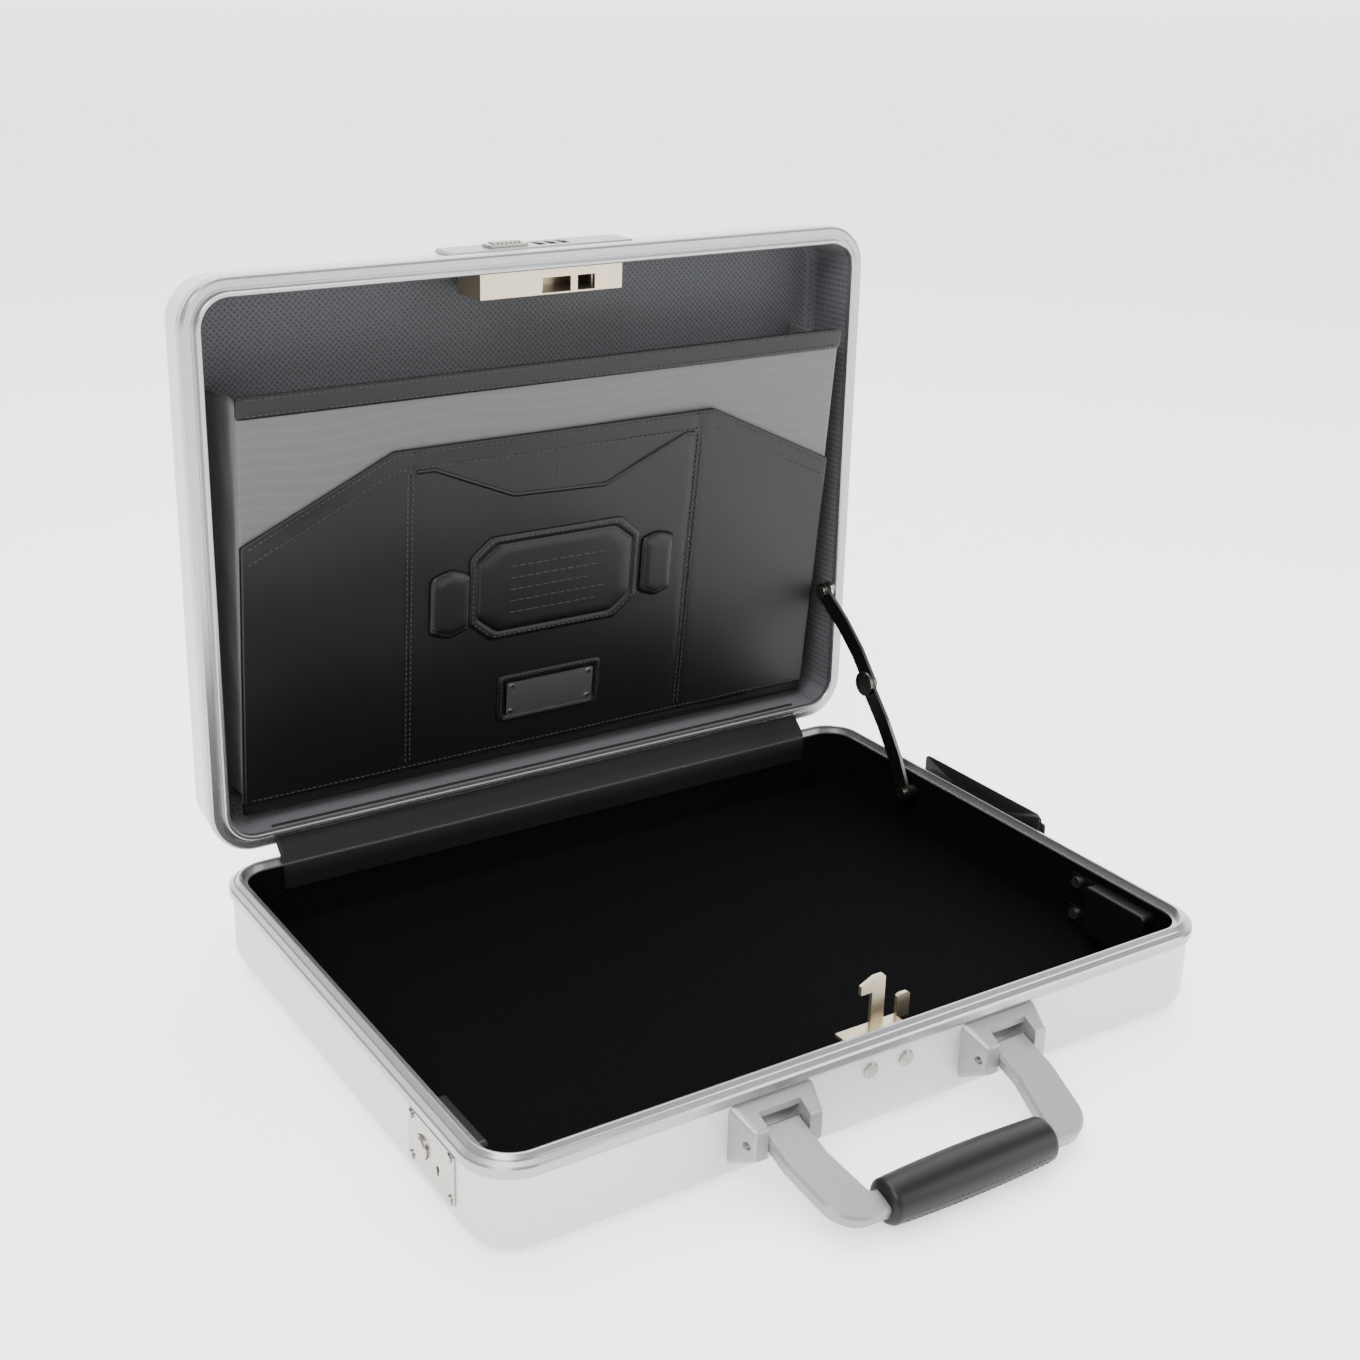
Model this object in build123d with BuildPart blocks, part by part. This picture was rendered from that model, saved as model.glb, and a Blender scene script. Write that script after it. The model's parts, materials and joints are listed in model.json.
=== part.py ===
from build123d import *
from math import atan2, cos, degrees, radians, sin, sqrt
import os

# Aluminium attache case, drawn standing open on its base: +X right, -Y front, +Z up, millimetres.
# The lid is drawn in its own plane LID: local X and Y are those of the closed case, local Z is
# the height above the parting plane, and the lid stands a quarter turn open about the hinge.

# ---- driving dimensions -------------------------------------------------------------------
INSIDE_W = 400.0          # clear opening, left to right
INSIDE_D = 290.0          # clear opening, front to back
INSIDE_R = 15.0           # corner radius of the opening
BASE_H = 52.0             # parting plane above the ground
LID_H = 41.0              # lid height above the parting plane
SHELL_OUT = 8.0           # shell outer face outside the opening
SHELL_T = 1.2             # drawn sheet thickness
SHELL_EDGE_R = 14.0       # radius round the closed end of each shell
RIM_OUT = 10.0            # rim outer face outside the opening
RIM_DEPTH = 9.0           # rim skirt below the parting plane
SLIT = 0.1                # assembly gap between touching pieces of one body

HALF_W = INSIDE_W / 2
HALF_D = INSIDE_D / 2
SHELL_X = HALF_W + SHELL_OUT
SHELL_Y = HALF_D + SHELL_OUT
SHELL_IN_X = SHELL_X - SHELL_T
SHELL_IN_Y = SHELL_Y - SHELL_T
LINING_OUT = SHELL_OUT - SHELL_T - SLIT
LINING_IN = 0.4

HINGE_Y = HALF_D + 12.0
HINGE_Z = BASE_H + 1.5
KNUCKLE_R = 1.65
HINGE_LEN = 336.0
HINGE_RIVETS = [(HINGE_LEN * (i / 7 - 0.5), 7.0) for i in range(1, 7)]
HINGE_RIVET_R = 1.2

# At rest the lid's closed-case Y runs down the vertical and its height runs towards the back.
LID = Plane(origin=(0, HINGE_Y - (HINGE_Z - BASE_H), HINGE_Z + HINGE_Y), x_dir=(1, 0, 0), z_dir=(0, 1, 0))
BASE = Plane(origin=(0, 0, BASE_H), x_dir=(1, 0, 0), z_dir=(0, 0, 1))
HALVES = {"base": BASE, "lid": LID}

os.makedirs("parts", exist_ok=True)


def save(builder, name):
    """Label a finished piece and write it."""
    builder.part.label = name
    export_step(builder.part, f"parts/{name}.step")


def outline(grow):
    """The opening's rounded rectangle, grown outwards by grow."""
    RectangleRounded(INSIDE_W + 2 * grow, INSIDE_D + 2 * grow, INSIDE_R + grow)


def opening_path(plane):
    """The opening's outline as a closed path that starts at the middle of the front."""
    straight_x = HALF_W - INSIDE_R
    straight_y = HALF_D - INSIDE_R
    with BuildLine(plane) as path:
        Line((0, -HALF_D), (straight_x, -HALF_D))
        CenterArc((straight_x, -straight_y), INSIDE_R, 270, 90)
        Line((HALF_W, -straight_y), (HALF_W, straight_y))
        CenterArc((straight_x, straight_y), INSIDE_R, 0, 90)
        Line((straight_x, HALF_D), (-straight_x, HALF_D))
        CenterArc((-straight_x, straight_y), INSIDE_R, 90, 90)
        Line((-HALF_W, straight_y), (-HALF_W, -straight_y))
        CenterArc((-straight_x, -straight_y), INSIDE_R, 180, 90)
        Line((-straight_x, -HALF_D), (0, -HALF_D))
    return path


def front_section(plane):
    """The plane across the rim at the middle of the front: X outwards, Y away from the closed end."""
    origin = plane.from_local_coords((0, -HALF_D, 0))
    outwards = plane.from_local_coords((0, -HALF_D - 1, 0)) - origin
    return Plane(origin=origin, x_dir=outwards, z_dir=(-1, 0, 0))


def bevelled(points, plane):
    """A filled outline through points on a plane."""
    with BuildSketch(plane) as face:
        with BuildLine():
            Polyline(*points, close=True)
        make_face()
    return face


def wall_hole(plane, radius, thickness, places):
    """Round holes of one radius, cut through to thickness on each side of the plane."""
    with BuildSketch(plane) as holes:
        with Locations(*places):
            Circle(radius)
    extrude(holes.sketch, amount=thickness, both=True, mode=Mode.SUBTRACT)


def pegs(plane, radius, start, stop, places, mode=Mode.ADD):
    """Round pegs, or holes, from one distance off the plane to another."""
    with BuildSketch(plane.offset(start)) as rounds:
        with Locations(*places):
            Circle(radius)
    extrude(rounds.sketch, amount=stop - start, mode=mode)


def block(plane, centre, size, start, stop, corner=0, mode=Mode.ADD):
    """A rectangular block standing on a plane, from one distance off it to another."""
    with BuildSketch(plane.offset(start)) as foot:
        with Locations(centre):
            if corner:
                RectangleRounded(size[0], size[1], corner)
            else:
                Rectangle(*size)
    extrude(foot.sketch, amount=stop - start, mode=mode)


def plate(plane, points, start, stop, mode=Mode.ADD):
    """A plate whose outline runs through points, from one distance off the plane to another."""
    extrude(bevelled(points, plane.offset(start)).sketch, amount=stop - start, mode=mode)


# ---- planes on the walls ------------------------------------------------------------------
FRONT = Plane(origin=(0, -SHELL_Y, 0), x_dir=(1, 0, 0), z_dir=(0, -1, 0))
LEFT = Plane(origin=(-SHELL_X, 0, 0), x_dir=(0, -1, 0), z_dir=(-1, 0, 0))
RIGHT = Plane(origin=(SHELL_X, 0, 0), x_dir=(0, 1, 0), z_dir=(1, 0, 0))
SIDES = {"left": LEFT, "right": RIGHT}
REAR = {
    "base": Plane(origin=(0, SHELL_Y, BASE_H), x_dir=(1, 0, 0), z_dir=(0, 1, 0)),
    "lid": Plane(origin=LID.from_local_coords((0, SHELL_Y, 0)), x_dir=(-1, 0, 0), z_dir=(0, 0, -1)),
}
LID_FRONT = Plane(
    origin=LID.from_local_coords((0, -SHELL_Y, 0)), x_dir=(1, 0, 0), z_dir=(0, 0, 1)
)

# ---- fastener and fitting places ----------------------------------------------------------
BRACKET_X = 66.5          # middle of each handle arm
BRACKET_SCREWS = [(side * BRACKET_X + step, 33.0) for side in (-1, 1) for step in (-17.0, 17.0)]
HOOK_RIVETS = [(-10.4, 34.8), (10.4, 34.8)]
RIVET_R = 2.0
SCREW_R = 1.6

ANCHOR_Y = -102.0         # anchor plate centre, front to back
ANCHOR_Z = 28.5
ANCHOR_W = 44.0
ANCHOR_H = 27.0
ANCHOR_BUTTON_R = 5.6
ANCHOR_BUTTON_SHIFT = 7.5
ANCHOR_KEY_SHIFT = -7.5
ANCHOR_TRAVEL = 2.5
ANCHOR_HEAD_SPOTS = [(-18.5, -10.5), (-18.5, 10.5), (18.5, -10.5), (18.5, 10.5)]

STAY_BASE = (69.0, 36.5)  # Y and Z of the stay's pivot on the base
STAY_LID = (73.0, 4.0)    # closed-case Y and height of its pivot on the lid
LINK_LOW = 70.0
LINK_HIGH = 66.6
STAY_POST_R = 4.2
CARD_Y = 19.5
CARD_RIVETS = [(CARD_Y - 34.0, 33.0), (CARD_Y + 34.0, 33.0)]
FEET_X = 165.0

LOCK_W = 113.0
LOCK_MID = 22.0           # lock plate centre line, height above the parting plane
LOCK_H = 22.0
SLIDER_X = -19.0
SLIDER_TRAVEL = 5.0
LOCK_SCREWS = [(-51.5, 17.0), (-36.0, 17.0), (33.0, 17.0), (51.5, 17.0)]
DIAL_XS = (1.5, 9.0, 16.5)
DIAL_R = 6.5
DIAL_W = 4.6
DIAL_AXIS_Y = -SHELL_Y + 3.6


def side_places(name, spots):
    """Wall-plane places of spots given in front-to-back and height terms, on either side wall."""
    turn = -1 if name == "left" else 1
    return [(turn * y, z) for y, z in spots]


def anchor_spots(spots):
    """Anchor spots, given from the plate centre, as front-to-back places and heights."""
    return [(ANCHOR_Y + y, ANCHOR_Z + z) for y, z in spots]


# ---- shells -------------------------------------------------------------------------------
def shell_tray(plane, depth, closed_way):
    """A drawn tray: outer body less the inner body, closed end rounded, edge inside the rim."""
    edge = 5.4
    for grow, inset, mode in (
        (SHELL_OUT, 0, Mode.ADD),
        (SHELL_OUT - SHELL_T, SHELL_T, Mode.SUBTRACT),
    ):
        with BuildPart(mode=Mode.PRIVATE) as body:
            with BuildSketch(plane.offset(closed_way * edge)) as mouth:
                outline(grow)
            extrude(mouth.sketch, amount=closed_way * (depth - edge - inset))
            closed = plane.offset(closed_way * (depth - inset))
            far_edges = body.edges().filter_by(lambda e: abs(closed.to_local_coords(e.center()).Z) < 0.01)
            fillet(far_edges, SHELL_EDGE_R - inset)
        add(body.part, mode=mode)


with BuildPart() as base_shell:
    shell_tray(BASE, BASE_H, -1)
    wall_hole(FRONT, SCREW_R + SLIT, 3, BRACKET_SCREWS)
    wall_hole(FRONT, RIVET_R + SLIT, 3, HOOK_RIVETS)
    for side, wall in SIDES.items():
        wall_hole(wall, ANCHOR_BUTTON_R + 0.4, 3, side_places(side, anchor_spots([(ANCHOR_BUTTON_SHIFT, 0)])))
        wall_hole(wall, 3.4, 3, side_places(side, anchor_spots([(ANCHOR_KEY_SHIFT, -2)])))
        wall_hole(wall, SCREW_R + SLIT, 3, side_places(side, anchor_spots(ANCHOR_HEAD_SPOTS)))
    wall_hole(RIGHT, RIVET_R + SLIT, 3, CARD_RIVETS + [STAY_BASE])
    wall_hole(REAR["base"], HINGE_RIVET_R + SLIT, 3, HINGE_RIVETS)
save(base_shell, "base_shell")

with BuildPart() as lid_shell:
    shell_tray(LID, LID_H, 1)
    with BuildSketch(LID_FRONT):
        with Locations((0, LOCK_MID)):
            Rectangle(84, 17)
    extrude(amount=4, both=True, mode=Mode.SUBTRACT)
    wall_hole(LID_FRONT, SCREW_R, 3, LOCK_SCREWS)
    wall_hole(REAR["lid"], HINGE_RIVET_R + SLIT, 3, HINGE_RIVETS)
save(lid_shell, "lid_shell")

# ---- extruded rims ------------------------------------------------------------------------
LEDGE = 3.2
LIP_STEP = 3.2
BASE_RIM_SECTION = [
    (0, -LEDGE), (0, -LEDGE - 0.9), (1.7, -LEDGE - 0.9), (1.7, -RIM_DEPTH), (3.1, -RIM_DEPTH),
    (3.1, -5.3), (SHELL_OUT + 0.1, -5.3), (SHELL_OUT + 0.1, -RIM_DEPTH), (RIM_OUT - 0.6, -RIM_DEPTH),
    (RIM_OUT, -RIM_DEPTH + 1.2), (RIM_OUT, -4.2), (RIM_OUT - 0.7, -3.2), (7.2, -2.0), (6.7, -2.15),
    (6.3, -1.55), (4.6, -0.15), (4.1, 0), (LIP_STEP + 0.3, 0), (LIP_STEP, -0.3), (LIP_STEP, -LEDGE),
]
LID_RIM_SECTION = [
    (0.3, -2.1), (0.9, -2.7), (2.3, -2.7), (2.9, -2.1), (2.9, 0.5), (4.5, 0.5), (4.5, 1.0),
    (4.9, 1.0), (4.9, 0.35), (5.3, 0.3), (8.4, 0.3), (9.5, 0.9), (RIM_OUT, 2.2),
    (RIM_OUT, RIM_DEPTH - 1.2), (RIM_OUT - 0.6, RIM_DEPTH), (SHELL_OUT + 0.1, RIM_DEPTH),
    (SHELL_OUT + 0.1, 5.3), (3.1, 5.3), (3.1, RIM_DEPTH), (1.7, RIM_DEPTH), (1.7, 1.0), (0.3, 1.0),
]

with BuildPart() as base_rim:
    base_path = opening_path(BASE)
    base_section = bevelled(BASE_RIM_SECTION, front_section(BASE))
    sweep(base_section.sketch, path=base_path.line)
    wall_hole(REAR["base"], HINGE_RIVET_R + SLIT, 3, HINGE_RIVETS)
save(base_rim, "base_rim")

with BuildPart() as lid_rim:
    lid_path = opening_path(LID)
    lid_section = bevelled(LID_RIM_SECTION, front_section(LID))
    sweep(lid_section.sketch, path=lid_path.line)
    wall_hole(REAR["lid"], HINGE_RIVET_R + SLIT, 3, HINGE_RIVETS)
save(lid_rim, "lid_rim")

# ---- linings ------------------------------------------------------------------------------
def lining_tray(plane, depth, closed_way, floor, floor_gap):
    """A soft lining tray inside a shell, with a thin edge that runs up behind the rim's lip."""
    low_edge = RIM_DEPTH + SLIT
    lip_edge = {-1: LEDGE + 1.0, 1: 1.1}[closed_way]
    with BuildPart(mode=Mode.PRIVATE) as outer:
        with BuildSketch(plane.offset(closed_way * low_edge)) as mouth:
            outline(LINING_OUT)
        extrude(mouth.sketch, amount=closed_way * (depth - low_edge - floor_gap))
        closed = plane.offset(closed_way * (depth - floor_gap))
        far_edges = outer.edges().filter_by(lambda e: abs(closed.to_local_coords(e.center()).Z) < 0.01)
        fillet(far_edges, SHELL_EDGE_R - floor_gap)
    with BuildPart(mode=Mode.PRIVATE) as hollow:
        with BuildSketch(plane.offset(closed_way * lip_edge)) as throat:
            outline(LINING_IN)
        extrude(throat.sketch, amount=closed_way * (depth - lip_edge - floor))
        closed = plane.offset(closed_way * (depth - floor))
        far_edges = hollow.edges().filter_by(lambda e: abs(closed.to_local_coords(e.center()).Z) < 0.01)
        fillet(far_edges, 8)
    with BuildSketch(plane.offset(closed_way * lip_edge)) as lip:
        outline(1.6)
    extrude(lip.sketch, amount=closed_way * (low_edge - lip_edge))
    add(outer.part)
    add(hollow.part, mode=Mode.SUBTRACT)


LINING_FLOOR = 7.0        # base lining's floor above the ground
FLOOR_GAP = SHELL_T + SLIT
WALL_IN = SHELL_OUT - LINING_IN   # from a wall plane in to the lining's inner face
STUD_SPOTS = [(31.0, -9.0), (31.0, 10.0)]

with BuildPart() as base_lining:
    lining_tray(BASE, BASE_H, -1, LINING_FLOOR, FLOOR_GAP)
    pegs(FRONT, 3.8, -SHELL_T - 3, -SHELL_T, BRACKET_SCREWS, Mode.SUBTRACT)
    pegs(FRONT, RIVET_R + SLIT, -WALL_IN - 1, 0, HOOK_RIVETS, Mode.SUBTRACT)
    for side, wall in SIDES.items():
        button = side_places(side, anchor_spots([(ANCHOR_BUTTON_SHIFT, 0)]))
        pegs(wall, ANCHOR_BUTTON_R + 0.4, -WALL_IN - 1, 0, button, Mode.SUBTRACT)
        pegs(wall, 3.4, -WALL_IN - 1, 0, side_places(side, anchor_spots([(ANCHOR_KEY_SHIFT, -2)])), Mode.SUBTRACT)
        pegs(wall, SCREW_R + SLIT, -WALL_IN - 1, 0, side_places(side, anchor_spots(STUD_SPOTS)), Mode.SUBTRACT)
        pegs(wall, 2.6, -SHELL_T - 2, 0, side_places(side, anchor_spots(ANCHOR_HEAD_SPOTS)), Mode.SUBTRACT)
    pegs(RIGHT, 3.4, -SHELL_T - 2, 0, CARD_RIVETS, Mode.SUBTRACT)
    pegs(RIGHT, STAY_POST_R + SLIT, -WALL_IN - 1, 0, [STAY_BASE], Mode.SUBTRACT)
save(base_lining, "base_lining")

LID_RIGHT = Plane(
    origin=LID.from_local_coords((SHELL_X, 0, 0)), x_dir=(0, 0, -1), z_dir=(1, 0, 0)
)
LID_FLOOR = 3.2
with BuildPart() as lid_lining:
    lining_tray(LID, LID_H, 1, LID_FLOOR, FLOOR_GAP)
    block(LID_FRONT, (0, 18.0), (92, 30), -WALL_IN - 1, 0, mode=Mode.SUBTRACT)
    pegs(LID_FRONT, SCREW_R, -WALL_IN - 1, 0, LOCK_SCREWS, Mode.SUBTRACT)
    pegs(LID_RIGHT, 6.0, -WALL_IN - 1, -4, [STAY_LID], Mode.SUBTRACT)
save(lid_lining, "lid_lining")

# ---- hinge --------------------------------------------------------------------------------
HINGE_SEGMENTS = 14
KNUCKLE = HINGE_LEN / HINGE_SEGMENTS
HINGE_AXIS = Plane(origin=(-HINGE_LEN / 2, HINGE_Y, HINGE_Z), x_dir=(0, 1, 0), z_dir=(1, 0, 0))
PIN_R = 0.8
LEAF_T = 1.0
LEAF_GAP = 0.1
KNUCKLE_ENDS = {"base": 0, "lid": 1}
LEAF_WAY = {"base": -1, "lid": 1}


def hinge_leaf(half):
    """A leaf plate down the rim's rear face, with every second knuckle of the barrel."""
    plane = HALVES[half]
    way = LEAF_WAY[half]
    rear = HALF_D + RIM_OUT + LEAF_GAP
    axis_height = HINGE_Z - BASE_H
    root = axis_height - 0.6
    with BuildSketch(plane.offset(way * 8.6)) as strip:
        with Locations((0, rear + LEAF_T / 2)):
            Rectangle(HINGE_LEN, LEAF_T)
    extrude(strip.sketch, amount=-way * (8.6 - way * (axis_height + way * 2.2)))
    for i in range(KNUCKLE_ENDS[half], HINGE_SEGMENTS, 2):
        middle = -HINGE_LEN / 2 + (i + 0.5) * KNUCKLE
        with BuildSketch(plane.offset(way * 8.6)) as web:
            with Locations((middle, rear + LEAF_T / 2)):
                Rectangle(KNUCKLE - 0.3, LEAF_T)
        extrude(web.sketch, amount=-way * (8.6 - way * root))
        with BuildSketch(HINGE_AXIS.offset(i * KNUCKLE + 0.15)) as barrel:
            Circle(KNUCKLE_R)
        extrude(barrel.sketch, amount=KNUCKLE - 0.3)
    with BuildSketch(HINGE_AXIS.offset(-1)) as bore:
        Circle(PIN_R + 0.05)
    extrude(bore.sketch, amount=HINGE_LEN + 2, mode=Mode.SUBTRACT)
    wall_hole(REAR[half], HINGE_RIVET_R + SLIT, 5, HINGE_RIVETS)


with BuildPart() as hinge_leaf_base:
    hinge_leaf("base")
save(hinge_leaf_base, "hinge_leaf_base")

with BuildPart() as hinge_leaf_lid:
    hinge_leaf("lid")
save(hinge_leaf_lid, "hinge_leaf_lid")

with BuildPart() as hinge_pin:
    with BuildSketch(HINGE_AXIS):
        Circle(PIN_R)
    extrude(amount=HINGE_LEN)
save(hinge_pin, "hinge_pin")

LEAF_FACE = RIM_OUT - SHELL_OUT + LEAF_GAP + LEAF_T   # leaf's outer face from the wall plane
for half in HALVES:
    with BuildPart() as hinge_rivets:
        pegs(REAR[half], HINGE_RIVET_R, -SHELL_T, LEAF_FACE, HINGE_RIVETS)
        pegs(REAR[half], 1.8, LEAF_FACE, LEAF_FACE + 0.8, HINGE_RIVETS)
    save(hinge_rivets, f"hinge_rivets_{half}")

with BuildPart() as hinge_cover:
    block(BASE, (0, HALF_D - 0.8), (350, 1.2), -22, -6)
save(hinge_cover, "hinge_cover")

# ---- handle -------------------------------------------------------------------------------
PIVOT_Y = -163.0
PIVOT_Z = 27.0
GRIP_Y = -208.5
GRIP_Z = 12.0
GRIP_HALF = 47.0
GRIP_R = 11.5
REACH = sqrt((GRIP_Y - PIVOT_Y) ** 2 + (GRIP_Z - PIVOT_Z) ** 2)
HANDLE = Plane(
    origin=(0, PIVOT_Y, PIVOT_Z), x_dir=(1, 0, 0), z_dir=(0, PIVOT_Z - GRIP_Z, GRIP_Y - PIVOT_Y)
)
BAR_W = 12.0              # frame's crossbar inside the grip
BAR_T = 7.0
PIVOT_PIN_R = 2.0
PIVOT_PLANE = Plane(origin=(0, PIVOT_Y, PIVOT_Z), x_dir=(0, 1, 0), z_dir=(1, 0, 0))

for side_name, side_sign in (("left", -1), ("right", 1)):
    middle = side_sign * BRACKET_X
    with BuildPart() as handle_bracket:
        with BuildSketch(FRONT.offset(SLIT)):
            with Locations((middle, 27)):
                RectangleRounded(46, 30, 4)
        with BuildSketch(FRONT.offset(14.2)):
            with Locations((middle, 27.5)):
                RectangleRounded(37, 15, 3)
        loft()
        outer_edges = handle_bracket.edges().filter_by(lambda e: e.center().Y < -SHELL_Y - 13.9)
        fillet(outer_edges, 1.6)
        block(FRONT, (middle, 14), (22.6, 44), 1.5, 20, mode=Mode.SUBTRACT)
        block(FRONT, (middle, 42), (22.6, 14), 6, 20, mode=Mode.SUBTRACT)
        pegs(FRONT, SCREW_R + SLIT, 0, 6.5, BRACKET_SCREWS, Mode.SUBTRACT)
        pegs(PIVOT_PLANE, PIVOT_PIN_R + SLIT, middle - 25, middle + 25, [(0, 0)], Mode.SUBTRACT)
    save(handle_bracket, f"handle_bracket_{side_name}")

with BuildPart() as handle_pivot_pins:
    for side_sign in (-1, 1):
        pegs(PIVOT_PLANE, PIVOT_PIN_R, side_sign * BRACKET_X - 18.6, side_sign * BRACKET_X + 18.6, [(0, 0)])
save(handle_pivot_pins, "handle_pivot_pins")

with BuildPart() as handle_bracket_screws:
    pegs(FRONT, 3.6, -SHELL_T - 2.6, -SHELL_T - SLIT, BRACKET_SCREWS)
    pegs(FRONT, SCREW_R, -SHELL_T - SLIT, 6.2, BRACKET_SCREWS)
save(handle_bracket_screws, "handle_bracket_screws")

ARM_STRAIGHT = 17.0       # arms leave the brackets straight, then lean towards each other
ARM = [(55.6, -4.6), (77.4, -4.6), (77.4, ARM_STRAIGHT), (71.5, REACH + BAR_W / 2)]
ARM_INNER = [(50.0, REACH - BAR_W / 2), (55.6, ARM_STRAIGHT)]
with BuildPart() as handle_frame:
    left_side = [(-x, y) for x, y in reversed(ARM)]
    inner = [(-x, y) for x, y in reversed(ARM_INNER)] + ARM_INNER
    plate(HANDLE, ARM + left_side + inner, -BAR_T / 2, BAR_T / 2)
    corners = handle_frame.edges().filter_by(Axis((0, 0, 0), HANDLE.z_dir))
    outer_bends = corners.filter_by(lambda e: HANDLE.to_local_coords(e.center()).Y > REACH + 1)
    fillet(outer_bends, 17)
    corners = handle_frame.edges().filter_by(Axis((0, 0, 0), HANDLE.z_dir))
    inner_bends = corners.filter_by(
        lambda e: abs(HANDLE.to_local_coords(e.center()).Y - REACH + BAR_W / 2) < 0.1
    )
    fillet(inner_bends, 2.5)
    faces = handle_frame.faces().filter_by(Plane(HANDLE.origin, z_dir=HANDLE.z_dir))
    chamfer(faces.edges(), 1.2)
    pegs(PIVOT_PLANE, PIVOT_PIN_R + 0.05, -90, 90, [(0, 0)], Mode.SUBTRACT)
save(handle_frame, "handle_frame")

with BuildPart() as handle_grip:
    with BuildSketch(Plane(origin=(0, GRIP_Y, GRIP_Z), x_dir=(1, 0, 0), z_dir=(0, 0, 1))):
        with BuildLine():
            Line((-GRIP_HALF, 0), (-GRIP_HALF, GRIP_R - 1.3))
            ThreePointArc((-GRIP_HALF, GRIP_R - 1.3), (0, GRIP_R), (GRIP_HALF, GRIP_R - 1.3))
            Line((GRIP_HALF, GRIP_R - 1.3), (GRIP_HALF, 0))
            Line((GRIP_HALF, 0), (-GRIP_HALF, 0))
        make_face()
    revolve(axis=Axis((0, GRIP_Y, GRIP_Z), (1, 0, 0)))
    rims = handle_grip.edges().filter_by(lambda e: abs(abs(e.center().X) - GRIP_HALF) < 0.01)
    fillet(rims, 3)
    block(HANDLE, (0, REACH), (110, BAR_W + 0.2), -BAR_T / 2 - SLIT, BAR_T / 2 + SLIT, mode=Mode.SUBTRACT)
save(handle_grip, "handle_grip")

# ---- side anchors -------------------------------------------------------------------------
PLATE_T = 1.2
BUTTON_FRONT = 2.9
BUTTON_BACK = -9.2
HOUSING_FACE = -15.6
HOUSING_WALL = 1.2
SPRING_WIRE = 0.4
EAR_SHIFT = {"left": -4.5, "right": 4.5}


def on_side(side, spots):
    """Anchor spots, given from the plate centre, as places on a side wall's plane."""
    return side_places(side, anchor_spots(spots))


for side, wall in SIDES.items():
    centre = on_side(side, [(0, 0)])[0]
    button_at = on_side(side, [(ANCHOR_BUTTON_SHIFT, 0)])
    key_at = on_side(side, [(ANCHOR_KEY_SHIFT, -2)])
    heads_at = on_side(side, ANCHOR_HEAD_SPOTS)
    studs_at = on_side(side, STUD_SPOTS)
    with BuildPart() as anchor_plate:
        block(wall, centre, (ANCHOR_W, ANCHOR_H), SLIT, PLATE_T, corner=3)
        chamfer(anchor_plate.faces().sort_by(Axis((0, 0, 0), wall.z_dir))[-1].outer_wire().edges(), 0.5)
        pegs(wall, ANCHOR_BUTTON_R + 0.35, 0, 2, button_at, Mode.SUBTRACT)
        pegs(wall, 1.5, 0, 2, key_at, Mode.SUBTRACT)
        block(wall, (key_at[0][0], key_at[0][1] - 2), (1.6, 3.2), 0, 2, mode=Mode.SUBTRACT)
        pegs(wall, SCREW_R + SLIT, 0, 2, heads_at, Mode.SUBTRACT)
    save(anchor_plate, f"anchor_plate_{side}")

    with BuildPart() as anchor_housing:
        back_edge = -WALL_IN - SLIT
        block(wall, on_side(side, [(-1.75, 1)])[0], (42.5, 28), HOUSING_FACE, back_edge, corner=3)
        front_face = anchor_housing.faces().sort_by(Axis((0, 0, 0), wall.z_dir))[0]
        fillet(front_face.edges(), 1.2)
        block(
            wall, on_side(side, [(-1.75, 1)])[0], (40.1, 25.6), HOUSING_FACE + HOUSING_WALL, back_edge,
            corner=2, mode=Mode.SUBTRACT,
        )
        for spot in studs_at:
            block(wall, (spot[0] - EAR_SHIFT[side], spot[1]), (18, 9), back_edge - 1.5, back_edge)
        block(
            wall, on_side(side, [(-1.75, 1)])[0], (40.1, 25.6), back_edge - 2, back_edge,
            corner=2, mode=Mode.SUBTRACT,
        )
        pegs(wall, SCREW_R + SLIT, back_edge - 2, back_edge, studs_at, Mode.SUBTRACT)
    save(anchor_housing, f"anchor_housing_{side}")

    with BuildPart() as anchor_button:
        pegs(wall, ANCHOR_BUTTON_R, BUTTON_BACK, BUTTON_FRONT, button_at)
        chamfer(anchor_button.faces().sort_by(Axis((0, 0, 0), wall.z_dir))[-1].edges(), 0.8)
        pegs(wall, ANCHOR_BUTTON_R + 1.9, BUTTON_BACK, BUTTON_BACK + 1.2, button_at)
        pegs(wall, 4.6, BUTTON_BACK, -2, button_at, Mode.SUBTRACT)
    save(anchor_button, f"anchor_button_{side}")

with BuildPart() as anchor_plate_screws:
    for side, wall in SIDES.items():
        heads_at = on_side(side, ANCHOR_HEAD_SPOTS)
        pegs(wall, 2.3, PLATE_T + 0.05, PLATE_T + 0.9, heads_at)
        pegs(wall, SCREW_R, -SHELL_T - 1.8, PLATE_T + 0.05, heads_at)
save(anchor_plate_screws, "anchor_plate_screws")

with BuildPart() as anchor_housing_screws:
    for side, wall in SIDES.items():
        studs_at = on_side(side, STUD_SPOTS)
        pegs(wall, 3.2, -WALL_IN - 3.0, -WALL_IN - 1.7, studs_at)
        pegs(wall, SCREW_R, -WALL_IN - 1.7, -SHELL_T - SLIT, studs_at)
save(anchor_housing_screws, "anchor_housing_screws")

with BuildPart() as anchor_lock_barrels:
    for side, wall in SIDES.items():
        key_at = on_side(side, [(ANCHOR_KEY_SHIFT, -2)])
        pegs(wall, 3.2, -10, 0, key_at)
        block(wall, key_at[0], (0.8, 4.4), -6, 0, mode=Mode.SUBTRACT)
save(anchor_lock_barrels, "anchor_lock_barrels")

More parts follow.
